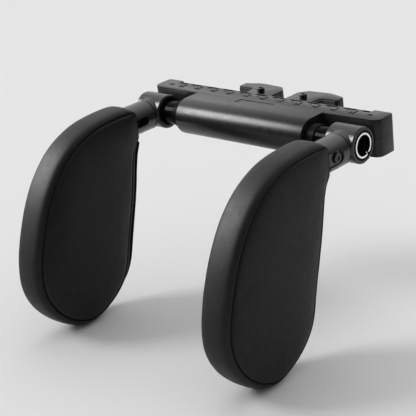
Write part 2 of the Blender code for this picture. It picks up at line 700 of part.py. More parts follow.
def arm_sleeve():
    arm = HINGE + Vector((ARM_X, 0, 0))
    spigot_bore = SPIGOT_RADIUS + GAP
    hole = BOLT_RADIUS + GAP
    edge = SLEEVE_EDGE
    profile = [
        (SLEEVE_BORE, SLEEVE_END), (BRANCH_RADIUS - edge, SLEEVE_END), (BRANCH_RADIUS, SLEEVE_END - edge),
        (BRANCH_RADIUS, SLEEVE_START + edge), (BRANCH_RADIUS - edge, SLEEVE_START),
        (spigot_bore, SLEEVE_START), (spigot_bore, WEB_START), (hole, WEB_START), (hole, WEB_END),
        (SLEEVE_BORE, WEB_END),
    ]
    body = turned("arm_sleeve", profile, "-Y", arm, closed=True)
    far = BRANCH_RADIUS + CUT
    steps = [("DIFFERENCE", cross_screw_hole())]
    steps += sleeve_slot(DISC_SLOT_START, DISC_SLOT_HALF, ARM_X + DISC_BED_X, ARM_X + far)
    steps += sleeve_slot(NUT_SLOT_START, NUT_SLOT_HALF, ARM_X - far, ARM_X - NECK_NUT_SEAT)
    return combined("arm_sleeve", body, steps)


def neck_screw():
    """Cross screw with a flat round head on the outer side of the sleeve."""
    seat = ARM_X + DISC_BED_X + GAP
    top = seat + DISC_THICKNESS
    tip = ARM_X - NECK_NUT_SEAT - GAP - NECK_NUT_THICKNESS
    profile = [(0, top), (DISC_RADIUS - HEAD_EDGE, top), (DISC_RADIUS, top - HEAD_EDGE),
               (DISC_RADIUS, seat), (CROSS_SCREW_RADIUS, seat), (CROSS_SCREW_RADIUS, tip), (0, tip)]
    body = turned("neck_screw", profile, "X", CROSS, SMALL_SIDES)
    socket = rod("socket", CROSS_SCREW_RADIUS, top - DISC_THICKNESS / 2, top + CUT, "X", CROSS, 6)
    return combined("neck_screw", body, [("DIFFERENCE", socket)])


def neck_nut():
    seat = ARM_X - NECK_NUT_SEAT - GAP
    bore = CROSS_SCREW_RADIUS + GAP
    return ring("neck_nut", NECK_NUT_RADIUS, bore, seat - NECK_NUT_THICKNESS, seat, "X", CROSS, SCREW_SIDES)


# Pads, right-hand side

def smooth_outline(points, count):
    """Evenly spaced points on a smooth curve through the outline, closed straight across the neck."""
    dense = []
    last = len(points) - 1
    for i in range(last):
        p0 = points[max(i - 1, 0)]
        p1, p2 = points[i], points[i + 1]
        p3 = points[min(i + 2, last)]
        for step in range(8):
            t = step / 8
            square = 2 * p0 - 5 * p1 + 4 * p2 - p3
            cube = 3 * p1 - p0 - 3 * p2 + p3
            dense.append((2 * p1 + (p2 - p0) * t + square * t ** 2 + cube * t ** 3) / 2)
    dense.append(points[last])
    lengths = [0.0]
    for a, b in zip(dense, dense[1:]):
        lengths.append(lengths[-1] + (b - a).length)
    result = []
    index = 0
    for k in range(count):
        goal = lengths[-1] * k / (count - 1)
        while index < len(dense) - 2 and lengths[index + 1] < goal:
            index += 1
        span = lengths[index + 1] - lengths[index]
        result.append(dense[index].lerp(dense[index + 1], (goal - lengths[index]) / span))
    return result


def grown(points, amount):
    """The closed outline moved outwards by the amount; its neck end stays in its plane."""
    result = []
    count = len(points)
    for index, point in enumerate(points):
        along = (points[(index + 1) % count] - points[index - 1]).normalized()
        outward = Vector((along.y, -along.x))
        if index in (0, count - 1):
            outward = Vector((0, 1 if index == 0 else -1))
        result.append(point + outward * amount)
    return result


def pad_sections(grow, fine):
    """(x, outline) sections of a pad from its inner to its outer face."""
    base = smooth_outline(PAD_OUTLINE, PAD_POINT_COUNT)
    rim = grown(base, grow)
    half = PAD_EDGE_HALF + grow
    sections = []
    for scale, lift in FACE_RINGS if fine else FACE_RINGS_PLAIN:
        shrunk = [PAD_CENTRE + (p - PAD_CENTRE) * scale for p in rim]
        sections.append((half + PAD_CROWN * lift, shrunk))
    for share, bulge in EDGE_RINGS if fine else EDGE_RINGS_PLAIN:
        sections.append((half * share, grown(base, grow + bulge)))
    return sections + [(-x, points) for x, points in reversed(sections) if x > 0]


def pad_form(name, grow, fine=True):
    """A crowned, closed pad: a loft through its sections."""
    bm = bmesh.new()
    loops = []
    for x, points in pad_sections(grow, fine):
        verts = [bm.verts.new((PAD_X + x, p.x, p.y)) for p in points]
        loops.append([bm.edges.new((a, b)) for a, b in zip(verts, verts[1:] + verts[:1])])
    for first, second in zip(loops, loops[1:]):
        bmesh.ops.bridge_loops(bm, edges=first + second)
    bmesh.ops.edgeloop_fill(bm, edges=loops[0])
    bmesh.ops.edgeloop_fill(bm, edges=loops[-1])
    bmesh.ops.recalc_face_normals(bm, faces=bm.faces)
    mesh = bpy.data.meshes.new(name)
    bm.to_mesh(mesh)
    bm.free()
    return mesh


def neck_opening():
    """Cutter for the hole that the core's neck passes through."""
    arm = HINGE + Vector((ARM_X, 0, 0))
    end = CORE_NECK_START + CORE_NECK_LENGTH + GAP
    return rod("neck", CORE_NECK_RADIUS + GAP, CORE_NECK_START, end, "-Y", arm)


def core_plate(name, grow):
    """Flat paddle inside a pad; its upper end runs into the core's neck."""
    outline = grown(rounded([(p.x, p.y, CORE_CORNER) for p in CORE_OUTLINE]), grow)
    half = CORE_THICKNESS / 2 + grow
    return outline_prism(name, outline, PAD_X - half, PAD_X + half, "YZ")


def pad_core():
    arm = HINGE + Vector((ARM_X, 0, 0))
    end = CORE_NECK_START + CORE_NECK_LENGTH
    neck = rod("neck", CORE_NECK_RADIUS, CORE_NECK_START, end, "-Y", arm)
    far, seat = ARM_X - BRANCH_RADIUS, ARM_X - NECK_NUT_SEAT
    pocket = rod("pocket", NECK_NUT_RADIUS + GAP, far, seat, "X", CROSS, SCREW_SIDES)
    steps = [("UNION", core_plate("plate", 0))]
    steps += [("DIFFERENCE", cutter) for cutter in (cross_screw_hole(), pocket)]
    return combined("pad_core", neck, steps)


def pad_foam():
    body = pad_form("foam", -COVER_THICKNESS - GAP, fine=False)
    steps = [("DIFFERENCE", core_plate("plate", GAP)), ("DIFFERENCE", neck_opening())]
    return combined("pad_foam", body, steps)


def pad_cover():
    hollow = pad_form("hollow", -COVER_THICKNESS)
    steps = [("DIFFERENCE", hollow), ("DIFFERENCE", neck_opening())]
    return combined("pad_cover", pad_form("cover", 0), steps)


def pad_spine():
    """Hard edge strip along the straight rear edge of a pad."""
    base = smooth_outline(PAD_OUTLINE, PAD_POINT_COUNT)
    inner = grown(base, PAD_SIDE_BULGE + GAP)
    outer = grown(base, PAD_SIDE_BULGE + GAP + SPINE_THICKNESS)
    picked = [i for i, p in enumerate(base) if SPINE_FOOT_Z <= p.y <= SPINE_TOP_Z and p.x > PAD_CENTRE.x]
    band = [inner[i] for i in picked] + [outer[i] for i in reversed(picked)]
    return outline_prism("pad_spine", band, PAD_X - SPINE_INNER, PAD_X + SPINE_OUTER, "YZ", SPINE_EDGE)


# Clamp jaws, right-hand side

def jaw_outline():
    front = [
        (JAW_INNER_X, JAW_FRONT_Y, JAW_FRONT_CORNER), (JAW_BLOCK_END_X, JAW_FRONT_Y, JAW_FRONT_CORNER),
        (JAW_BLOCK_END_X, MOUTH_DEPTH, MOUTH_CORNER), (JAW_TIP_X, MOUTH_DEPTH, JAW_TIP_CORNER),
    ]
    return rounded(front + JAW_REAR)


def jaw():
    body = outline_prism("jaw", jaw_outline(), -JAW_HALF_HEIGHT, JAW_HALF_HEIGHT, edge=JAW_EDGE)
    flange = FLANGE_HALF_HEIGHT + GAP
    web = WEB_HALF_HEIGHT + GAP
    front = JAW_FRONT_Y - CUT
    lip = -FLANGE_DEPTH - GAP
    channel = [(front, -web), (lip, -web), (lip, -flange), (GAP, -flange),
               (GAP, flange), (lip, flange), (lip, web), (front, web)]
    low, high = JAW_INNER_X - CUT, JAW_BLOCK_END_X + CUT
    screw = (CLAMP_SCREW_X, CLAMP_SCREW_Y, 0)
    over = JAW_HALF_HEIGHT + CUT
    nut_top = -JAW_HALF_HEIGHT + GAP + NUT_THICKNESS + GAP
    return combined("jaw", body, [
        ("DIFFERENCE", outline_prism("channel", channel, low, high, "YZ")),
        ("DIFFERENCE", box("slit", (low, 0, -SLIT / 2), (high, SLIT_END_Y, SLIT / 2))),
        ("DIFFERENCE", rod("hole", CLAMP_SCREW_RADIUS + GAP, -over, over, "Z", screw, SCREW_SIDES)),
        ("DIFFERENCE", hexagon("nut", NUT_RADIUS + GAP, -over, nut_top, screw)),
    ])


def jaw_liner():
    """Rubber lining of the mouth, along the block and the rear arm."""
    outer_x, outer_y = JAW_BLOCK_END_X + GAP, MOUTH_DEPTH - GAP
    inner_x, inner_y = outer_x + LINER_THICKNESS, outer_y - LINER_THICKNESS
    front, tip = LINER_FRONT_Y, JAW_TIP_X - LINER_TIP_SHORT
    inner_corner = (inner_x, inner_y, MOUTH_CORNER - LINER_THICKNESS)
    outline = rounded([(outer_x, front, 0), (inner_x, front, 0), inner_corner, (tip, inner_y, 0),
                       (tip, outer_y, 0), (outer_x, outer_y, MOUTH_CORNER)])
    return outline_prism("jaw_liner", outline, -LINER_HALF_HEIGHT, LINER_HALF_HEIGHT)


def clamp_screw():
    place = (CLAMP_SCREW_X, CLAMP_SCREW_Y, 0)
    seat = JAW_HALF_HEIGHT + GAP
    top = seat + CLAMP_HEAD
    tip = -JAW_HALF_HEIGHT + GAP
    profile = [(0, top), (CLAMP_HEAD_RADIUS - HEAD_EDGE, top), (CLAMP_HEAD_RADIUS, top - HEAD_EDGE),
               (CLAMP_HEAD_RADIUS, seat), (CLAMP_SCREW_RADIUS, seat), (CLAMP_SCREW_RADIUS, tip), (0, tip)]
    body = turned("clamp_screw", profile, "Z", place, SMALL_SIDES)
    socket = rod("socket", CLAMP_SCREW_RADIUS, top - CLAMP_HEAD / 2, top + CUT, "Z", place, 6)
    return combined("clamp_screw", body, [("DIFFERENCE", socket)])


def clamp_nut():
    place = (CLAMP_SCREW_X, CLAMP_SCREW_Y, 0)
    low = -JAW_HALF_HEIGHT + GAP
    high = low + NUT_THICKNESS
    body = hexagon("clamp_nut", NUT_RADIUS, low, high, place)
    bore = CLAMP_SCREW_RADIUS + GAP
    hole = rod("hole", bore, low - CUT, high + CUT, "Z", place, SCREW_SIDES)
    return combined("clamp_nut", body, [("DIFFERENCE", hole)])


# The whole part

def build():
    moulding = new_material("black_moulding", (0.035, 0.035, 0.037), 0.45)
    dark_plastic = new_material("dark_plastic", (0.02, 0.02, 0.021), 0.38)
    black_steel = new_material("black_steel", (0.03, 0.03, 0.032), 0.22, 0.8)
    steel = new_material("screw_steel", (0.12, 0.12, 0.125), 0.3, 1.0)
    satin_metal = new_material("satin_metal", (0.05, 0.05, 0.055), 0.35, 0.8)
    rubber = new_material("rubber", (0.02, 0.02, 0.02), 0.8)
    leather = new_material("leather", (0.012, 0.012, 0.013), 0.5)
    foam = new_material("foam", (0.2, 0.2, 0.2), 0.95)

    root = joint_empty("cross_bar", (0, 0, 0))
    slides, hinges, swivels, clamps, fixed = {}, {}, {}, {}, {"left": root, "right": root}
    for side, sign in (("left", -1), ("right", 1)):
        slides[side] = joint_empty(side + "_tube_slide", HINGE + Vector((sign * TUBE_INNER_X, 0, 0)), root)
        arm = HINGE + Vector((sign * ARM_X, 0, 0))
        hinges[side] = joint_empty(side + "_pitch_axis", arm, slides[side])
        swivels[side] = joint_empty(side + "_swivel_axis", arm - Vector((0, BRANCH_END, 0)), hinges[side])
        clamps[side] = joint_empty(side + "_jaw_slide", (sign * CLAMP_SCREW_X, 0, 0), root)

    body = bar_body()
    add_piece("housing_top", housing_half(body, True), moulding, root)
    add_piece("housing_bottom", housing_half(body, False), moulding, root)
    for number, screw in enumerate(housing_screws(), 1):
        add_piece(f"housing_screw_{number}", screw, steel, root)
    add_piece("clamp_rail", rail(), black_steel, root)
    for number, screw in enumerate(rail_screws(), 1):
        add_piece(f"rail_screw_{number}", screw, steel, root)
    add_pair("tube_bush", tube_bush(), dark_plastic, fixed)

    add_pair("tube", tube(), black_steel, slides)
    add_pair("tube_stop", tube_stop(), steel, slides)
    add_pair("tube_plug", tube_plug(), dark_plastic, slides)

    add_pair("knuckle", knuckle(), satin_metal, hinges)
    add_pair("friction_bush", friction_bush(), dark_plastic, hinges)
    add_pair("swivel_bolt", swivel_bolt(), steel, hinges)

    add_pair("arm_sleeve", arm_sleeve(), dark_plastic, swivels)
    add_pair("neck_screw", neck_screw(), steel, swivels)
    add_pair("neck_nut", neck_nut(), steel, swivels)
    add_pair("pad_core", pad_core(), dark_plastic, swivels)
    add_pair("pad_foam", pad_foam(), foam, swivels)
    add_pair("pad_cover", pad_cover(), leather, swivels)
    add_pair("pad_spine", pad_spine(), dark_plastic, swivels)

    add_pair("clamp_jaw", jaw(), moulding, clamps)
    add_pair("jaw_liner", jaw_liner(), rubber, clamps)
    add_pair("clamp_screw", clamp_screw(), steel, clamps)
    add_pair("clamp_nut", clamp_nut(), steel, clamps)


clear_scene()
PARTS = new_collection("headrest_side_support")
CUTTERS = new_collection("cutters")
build()
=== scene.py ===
# Looks of the car headrest side support: padded wings, finishes, scale marks, lights and camera.

import json
import math

import bmesh
import bpy
import numpy as np
from mathutils import Matrix, Vector, noise

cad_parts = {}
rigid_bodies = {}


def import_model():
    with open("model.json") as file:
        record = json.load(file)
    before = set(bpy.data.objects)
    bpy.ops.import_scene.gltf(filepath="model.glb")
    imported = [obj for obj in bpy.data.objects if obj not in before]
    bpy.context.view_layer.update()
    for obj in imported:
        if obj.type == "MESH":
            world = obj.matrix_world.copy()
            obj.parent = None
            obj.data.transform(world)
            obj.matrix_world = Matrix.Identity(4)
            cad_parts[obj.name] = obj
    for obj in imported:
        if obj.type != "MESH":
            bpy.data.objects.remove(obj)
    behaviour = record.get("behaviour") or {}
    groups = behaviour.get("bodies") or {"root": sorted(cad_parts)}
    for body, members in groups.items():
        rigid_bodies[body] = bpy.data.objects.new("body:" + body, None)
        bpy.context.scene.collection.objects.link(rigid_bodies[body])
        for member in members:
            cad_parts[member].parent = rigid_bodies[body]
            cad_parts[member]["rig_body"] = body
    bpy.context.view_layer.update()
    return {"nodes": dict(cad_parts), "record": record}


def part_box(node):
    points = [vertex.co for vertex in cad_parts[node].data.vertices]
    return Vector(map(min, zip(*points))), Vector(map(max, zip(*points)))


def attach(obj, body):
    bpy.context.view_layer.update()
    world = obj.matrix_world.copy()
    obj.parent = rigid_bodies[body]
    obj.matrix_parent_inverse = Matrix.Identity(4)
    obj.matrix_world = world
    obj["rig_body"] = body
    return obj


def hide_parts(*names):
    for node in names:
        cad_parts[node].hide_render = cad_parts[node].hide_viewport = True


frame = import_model()
NODES = frame["nodes"]
SCENE = bpy.context.scene
MM = 0.001
SIDES = (("left", -1), ("right", 1))

# Sizes repeated from the part's source
HALF_HEIGHT = 17 * MM             # of the bar
AXIS_Y = -44 * MM                 # axis of the tubes
BAR_REAR_Y = -11 * MM             # rear edge of the bar's top
SCALE_PITCH = 20 * MM
SLOT_DEPTH = 2.4 * MM             # of the rail's slots
SLOTS_END_X = 117 * MM
PAD_X = 110 * MM                  # middle plane of a pad
FLOOR_Z = min(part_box(side + "_pad_cover")[0].z for side, _ in SIDES)

# Side view of a pad, (Y, Z): from the top of its neck round the front, then up the neck's end
PAD_OUTLINE = [Vector(p) * MM for p in (
    (-91, 14.9), (-109, 16.6), (-139, 14.8), (-162, 8.0), (-180, -2.6), (-197, -19.5),
    (-210.5, -40), (-220.5, -63), (-227.5, -86), (-229.6, -107), (-226, -127), (-215.5, -145),
    (-199.5, -159), (-180, -165), (-160.5, -160.5), (-143, -150.5), (-130.2, -137.5),
    (-121.6, -122), (-112.5, -92), (-103.5, -61), (-96.9, -31), (-92.6, -19.5), (-89.9, -14.8),
    (-87.9, -11.6), (-87.9, -4), (-87.9, 4), (-87.9, 12.2),
)]


# Materials

MAP_SOCKETS = ("From Min", "From Max", "To Min", "To Max")


class Look:
    """A material under construction: its shader, its nodes and short ways to add to them."""

    def __init__(self, name, colour, roughness, metallic=0.0, **inputs):
        self.material = bpy.data.materials.new(name)
        self.material.use_nodes = True
        self.tree = self.material.node_tree
        self.shader = self.tree.nodes["Principled BSDF"]
        self.colour = (*colour, 1)
        self.shader.inputs["Base Color"].default_value = self.colour
        self.shader.inputs["Roughness"].default_value = roughness
        self.shader.inputs["Metallic"].default_value = metallic
        for socket, value in inputs.items():
            self.shader.inputs[socket.replace("_", " ")].default_value = value
        self.material.diffuse_color = self.colour
        self.height = None
        self.place = self.tree.nodes.new("ShaderNodeTexCoord").outputs["Object"]

    def node(self, kind, **values):
        made = self.tree.nodes.new("ShaderNode" + kind)
        for key, value in values.items():
            if key in made.bl_rna.properties:
                setattr(made, key, value)
            else:
                made.inputs[key].default_value = value
        return made

    def link(self, source, target):
        self.tree.links.new(source, target)

    def noise(self, size, detail=3.0, roughness=0.55):
        """Soft cloudy values with features of about that size."""
        made = self.node("TexNoise", Scale=1 / size, Detail=detail, Roughness=roughness)
        self.link(self.place, made.inputs["Vector"])
        return made.outputs["Fac"]

    def cells(self, size, feature="DISTANCE_TO_EDGE"):
        made = self.node("TexVoronoi", feature=feature, Scale=1 / size)
        self.link(self.place, made.inputs["Vector"])
        return made.outputs["Distance"]

    def ramp(self, value, low, high, start, end):
        """The value mapped from low..high to start..end, clamped."""
        made = self.node("MapRange")
        self.link(value, made.inputs["Value"])
        for socket, number in zip(MAP_SOCKETS, (low, high, start, end)):
            made.inputs[socket].default_value = number
        return made.outputs["Result"]

    def vary_colour(self, value, low, high, dark, pale):
        """Colour between a darker and a paler share of the base colour."""
        made = self.node("Mix", data_type="RGBA")
        factor, first, second = made.inputs[0], made.inputs[6], made.inputs[7]
        self.link(self.ramp(value, low, high, 0, 1), factor)
        first.default_value = (*[c * dark for c in self.colour[:3]], 1)
        second.default_value = (*[c * pale for c in self.colour[:3]], 1)
        self.link(made.outputs[2], self.shader.inputs["Base Color"])

    def vary_roughness(self, value, low, high, start, end):
        self.link(self.ramp(value, low, high, start, end), self.shader.inputs["Roughness"])

    def bump(self, value, distance):
        """One more layer of relief, its depth in metres."""
        made = self.node("Bump", Distance=distance, Strength=1.0)
        self.link(value, made.inputs["Height"])
        if self.height:
            self.link(self.height, made.inputs["Normal"])
        self.height = made.outputs["Normal"]
        self.link(self.height, self.shader.inputs["Normal"])


def moulded_plastic(name, colour, roughness, grain=0.45 * MM, depth=0.03 * MM, gloss=0.3):
    """Spark-eroded moulding texture with faint flow marks."""
    look = Look(name, colour, roughness, Specular_IOR_Level=gloss)
    grainy = look.noise(grain, 4.0, 0.65)
    clouds = look.noise(18 * MM, 2.0)
    look.vary_colour(clouds, 0.3, 0.7, 0.88, 1.12)
    look.vary_roughness(look.noise(6 * MM, 5.0), 0.3, 0.7, roughness - 0.04, roughness + 0.05)
    look.bump(grainy, depth)
    return look.material


def satin_coating(name, colour, roughness, metallic, gloss=0.5):
    """Sprayed or anodised metal: fine orange peel and slight wear."""
    look = Look(name, colour, roughness, metallic, Specular_IOR_Level=gloss)
    look.vary_colour(look.noise(9 * MM, 4.0), 0.3, 0.7, 0.9, 1.1)
    look.vary_roughness(look.noise(3 * MM, 5.0), 0.3, 0.7, roughness - 0.03, roughness + 0.05)
    look.bump(look.noise(0.35 * MM, 3.0), 0.012 * MM)
    return look.material


def turned_steel(name, colour, roughness):
    """Machined steel with fine tool marks."""
    look = Look(name, colour, roughness, 1.0)
    marks = look.node("TexWave", Scale=900.0, Distortion=2.5, Detail=3.0)
    look.link(look.place, marks.inputs["Vector"])
    look.vary_roughness(marks.outputs["Fac"], 0, 1, roughness - 0.05, roughness + 0.08)
    look.bump(marks.outputs["Fac"], 0.006 * MM)
    look.vary_colour(look.noise(4 * MM), 0.3, 0.7, 0.9, 1.08)
    return look.material


def leather():
    """Black coated leather: small pebbles, pores between them and long soft creases."""
    look = Look("black_leather", (0.0042, 0.0042, 0.0044), 0.5, Specular_IOR_Level=0.25)
    look.vary_colour(look.noise(14 * MM, 5.0), 0.3, 0.7, 0.8, 1.25)
    look.vary_roughness(look.noise(5 * MM, 5.0), 0.3, 0.7, 0.46, 0.55)
    look.bump(look.noise(9 * MM, 4.0, 0.5), 0.12 * MM)
    look.bump(look.ramp(look.cells(1.5 * MM), 0, 0.22, 0, 1), 0.055 * MM)
    look.bump(look.noise(0.5 * MM, 3.0), 0.03 * MM)
    return look.material


def rubber():
    look = Look("rubber", (0.018, 0.018, 0.018), 0.75)
    look.vary_colour(look.noise(8 * MM, 4.0), 0.3, 0.7, 0.85, 1.2)
    look.bump(look.noise(0.6 * MM, 4.0), 0.05 * MM)
    return look.material


def foam():
    look = Look("foam", (0.16, 0.16, 0.16), 0.95)
    look.vary_colour(look.cells(1.2 * MM, "F1"), 0, 1, 0.7, 1.15)
    look.bump(look.cells(1.2 * MM), 0.3 * MM)
    return look.material


# Matt black paint: the printed scale marks, and painted shade inside the rail's slots
def mark_print_and_slot_shade():
    look = Look("mark_print_and_slot_shade", (0.004, 0.004, 0.004), 0.8, Specular_IOR_Level=0.0)
    look.vary_colour(look.noise(2 * MM, 4.0), 0.3, 0.7, 0.8, 1.3)
    look.bump(look.noise(0.3 * MM), 0.02 * MM)
    return look.material


def chrome():
    look = Look("bare_tube_end", (0.82, 0.83, 0.85), 0.12, 1.0)
    look.vary_roughness(look.noise(1.5 * MM, 4.0), 0.3, 0.7, 0.09, 0.2)
    look.bump(look.noise(0.8 * MM), 0.01 * MM)
    return look.material


LOOKS = {
    "moulding": moulded_plastic("black_moulding", (0.010, 0.010, 0.0102), 0.30),
    "dark_plastic": moulded_plastic("dark_plastic", (0.008, 0.008, 0.0082), 0.34,
                                    grain=0.6 * MM, depth=0.02 * MM, gloss=0.02),
    "tube_metal": satin_coating("gloss_black_tube", (0.003, 0.003, 0.003), 0.08, 0.0, 0.03),
    "rail_metal": satin_coating("black_rail", (0.03, 0.03, 0.031), 0.34, 0.6),
    "knuckle_metal": satin_coating("gunmetal", (0.04, 0.04, 0.042), 0.28, 0.7),
    "screw_steel": turned_steel("black_steel", (0.06, 0.06, 0.062), 0.34),
    "rubber": rubber(),
    "leather": leather(),
    "foam": foam(),
}
SLEEVE_LOOK = moulded_plastic("satin_sleeve", (0.014, 0.014, 0.0143), 0.26, depth=0.01 * MM, gloss=0.6)
CHROME = chrome()
# black of the printed marks, also used as painted shade in the rail's slots
MARK_PRINT_AND_SLOT_SHADE = mark_print_and_slot_shade()
SLOTS = {entry["node"]: entry["material_slot"] for entry in frame["record"]["subparts"]}


# Mesh helpers

WELD = 0.005 * MM
FLAT_WITHIN = math.radians(0.4)   # faces of a CAD mesh that count as one plane
SMOOTH_BELOW = math.radians(38)   # angles up to here are shaded as one round face
EDGE_FROM = math.radians(40)      # angles from here on get a rounded edge


def new_piece(name, mesh, body, slot):
    """A finished piece on its body, with the material of its slot unless it has one."""
    piece = bpy.data.objects.new(name, mesh)
    SCENE.collection.objects.link(piece)
    if not mesh.materials:
        mesh.materials.append(LOOKS[slot])
    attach(piece, body)
    return piece


def smooth(mesh):
    mesh.shade_smooth()
    mesh.set_sharp_from_angle(angle=SMOOTH_BELOW)


def round_edges(piece, width):
    """Small radius on every real edge of the piece, so that it catches the light."""
    bevel = piece.modifiers.new("Edges", "BEVEL")
    bevel.width = width
    bevel.segments = 2
    bevel.limit_method = "ANGLE"
    bevel.angle_limit = EDGE_FROM
    bevel.harden_normals = True


def dressed(node, width):
    """A welded copy of a CAD node with rounded edges and smooth round faces, shown in its place."""
    bm = bmesh.new()
    bm.from_mesh(NODES[node].data)
    bmesh.ops.remove_doubles(bm, verts=bm.verts, dist=WELD)
    bmesh.ops.dissolve_limit(bm, angle_limit=FLAT_WITHIN, verts=bm.verts, edges=bm.edges)
    points = [v.co.copy() for v in bm.verts]
    faces = [[v.index for v in f.verts] for f in bm.faces]
    bm.free()
    mesh = bpy.data.meshes.new(node + "_finish")
    mesh.from_pydata(points, [], faces)
    smooth(mesh)
    piece = new_piece(mesh.name, mesh, NODES[node]["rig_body"], SLOTS[node])
    round_edges(piece, width)
    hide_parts(node)
    return piece


def catmull(points, per_span=10):
    """Dense points on a smooth closed curve through the given ones."""
    dense = []
    count = len(points)
    for i in range(count):
        p0, p1, p2, p3 = (points[(i + k - 1) % count] for k in range(4))
        for step in range(per_span):
            t = step / per_span
            square = 2 * p0 - 5 * p1 + 4 * p2 - p3
            cube = 3 * p1 - p0 - 3 * p2 + p3
            dense.append((2 * p1 + (p2 - p0) * t + square * t ** 2 + cube * t ** 3) / 2)
    return dense


def resampled(points, count):
    """The closed curve as evenly spaced points."""
    loop = points + [points[0]]
    lengths = [0.0]
    for a, b in zip(loop, loop[1:]):
        lengths.append(lengths[-1] + (b - a).length)
    result, index = [], 0
    for k in range(count):
        goal = lengths[-1] * k / count
        while lengths[index + 1] < goal:
            index += 1
        share = (goal - lengths[index]) / (lengths[index + 1] - lengths[index])
        result.append(loop[index].lerp(loop[index + 1], share))
    return result


def outward_normals(points):
    normals = []
    count = len(points)
    for i in range(count):
        along = (points[(i + 1) % count] - points[i - 1]).normalized()
        normals.append(Vector((along.y, -along.x)))
    return normals


# Padded wings

PATCH = 31                        # squares along each side of a face's middle patch
RING_POINTS = 4 * PATCH
FINE_POINTS = 4 * RING_POINTS
# Half of the edge strip and its seam, in mm: distance from the middle plane, then how far outward
# from the outline at the top and the foot, and at the front and the rear
STRIP = ((1.7, 1.9, 3.4), (4.8, 1.8, 3.3), (7.6, 1.5, 3.0), (10.2, 1.0, 2.5), (12.2, 0.0, 1.5),
         (13.8, -1.5, -0.3), (14.8, -3.3, -2.9))
SEAM = (13.2, -4.0, -3.9)
SPINE_LIMIT = 1.5 * MM            # the strip stays inside the hard spine on the rear edge
SPINE_FACING = 0.5                # share towards the rear of the directions that the spine covers
FACE_LIP = 15.1 * MM              # from the middle plane to a face's edge by the seam
FACE_INSETS = (4.7, 5.6, 7.2, 9.4)            # rings of a face, in mm inward from the outline
FACE_RISE = 3.4 * MM
FACE_SHOULDER = 27 * MM           # distance from its lip over which a face rises
# How far the filling may push a point of a face and of the strip
FACE_SWELL = 1.6 * MM
STRIP_SWELL = 0.3 * MM
PUFF = 3.0                        # pressure of the filling
SETTLE_FRAMES = 20
RELAX_STEPS = 300
# Smoothing of the outline: shares of the way to the neighbours' middle, in and out by turns
SOFTEN_STEPS = (0.5, -0.515) * 16
NECK_KEPT = 9 * MM                # length by the neck's end that isn't smoothed
NECK_FIXED = 0.6 * MM             # length at the neck's end that keeps its size
NECK_BLEND = 8 * MM               # length over which the pad gets free of that
TUCK_AT_NECK = 0.3                # share of the seam's depth that is left at the neck's end
# How much fuller the pad is than its outline: at the top, at the foot, and at the foot towards the rear
TOP_MORE = 1.8 * MM
FOOT_MORE = -1.6 * MM
REAR_MORE = 4.5 * MM
REAR_BLEND = 22 * MM
# Hard trim below the spine: it starts inside the spine's foot and sinks into the cover
TRIM_TOP_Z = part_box("left_pad_spine")[0].z + 2.2 * MM
TRIM_FOOT_Z = -141 * MM
TRIM_INNER = 13 * MM              # from the pad's middle plane towards the head
TRIM_OUTER = 6 * MM
TRIM_SEAT = 1.9 * MM              # from the outline to its underside, at the top
TRIM_THICKNESS = 2 * MM
TRIM_EDGE = 0.2 * MM
REARWARD = 0.3                    # least share towards the rear of the directions it faces
# Unevenness of the leather: sizes of its waves, and how deep they are
BROAD_WAVE = 38 * MM
BROAD_DEPTH = 0.35 * MM
PUCKER_ACROSS = 60 * MM
PUCKER_ALONG = 9 * MM
PUCKER_DEPTH = 0.22 * MM
PUCKER_REACH = 3 * MM             # from the seam


def face_levels(points, outline):
    """Distance of face points from the middle plane: a smooth cushion over the closed outline."""
    steps = np.linalg.norm(outline - np.roll(outline, 1, axis=0), axis=1)
    apart = np.linalg.norm(points[:, None, :] - outline[None, :, :], axis=2)
    inward = np.sqrt(2 / (steps / apart ** 3).sum(axis=1)) - FACE_INSETS[0] * MM
    share = np.clip(inward / FACE_SHOULDER, 0, 1)
    return FACE_LIP + FACE_RISE * np.sqrt(1 - (1 - share) ** 2)


def softened(points, end_y):
    """The outline without its small corners, except by the neck's end, at its full size."""
    count = len(points)
    for factor in SOFTEN_STEPS:
        middles = [(points[i - 1] + points[(i + 1) % count]) / 2 for i in range(count)]
        points = [p if p.x > end_y - NECK_KEPT else p.lerp(m, factor) for p, m in zip(points, middles)]
    return points


def pad_base():
    """Points and normals of the outline as the eye sees it, and how free of the neck's end they are."""
    end_y = max(p.x for p in PAD_OUTLINE)
    base = softened(resampled(catmull(PAD_OUTLINE), RING_POINTS), end_y)
    free = [min(1.0, max(0.0, (end_y - NECK_FIXED - p.x) / NECK_BLEND)) for p in base]
    fuller = []
    for p, n, f in zip(base, outward_normals(base), free):
        more = TOP_MORE if n.y > 0 else FOOT_MORE
        lower = 1.0 if n.x < 0 else min(1.0, max(0.0, (TRIM_TOP_Z - p.y) / REAR_BLEND))
        fuller.append(p + n * f * (more * n.y ** 2 - REAR_MORE * lower * min(n.y, 0) * n.x))
    return fuller, outward_normals(fuller), free


def pad_rings():
    """Rings from the rim of the outer face's patch over the edge strip to the inner face's rim."""
    base, normals, free = pad_base()
    outline = np.array(resampled(base, FINE_POINTS))

    def offset(upright, level):
        ring = []
        for p, n, f in zip(base, normals, free):
            outward = (upright + (level - upright) * n.x ** 2) * MM
            if n.x > SPINE_FACING:
                outward = min(outward, SPINE_LIMIT)
            share = f if outward > 0 else TUCK_AT_NECK + (1 - TUCK_AT_NECK) * f
            ring.append(p + n * (outward * share))
        return ring

    half = []
    for inset in reversed(FACE_INSETS):
        ring = offset(-inset, -inset)
        levels = face_levels(np.array(ring), outline)
        half.append([(x, p.x, p.y) for x, p in zip(levels, ring)])
    face_count = len(half)
    for x, upright, level in (SEAM,) + STRIP[::-1]:
        half.append([(x * MM, p.x, p.y) for p in offset(upright, level)])
    rings = half + [[(-x, y, z) for x, y, z in ring] for ring in reversed(half)]
    return rings, face_count, free, outline


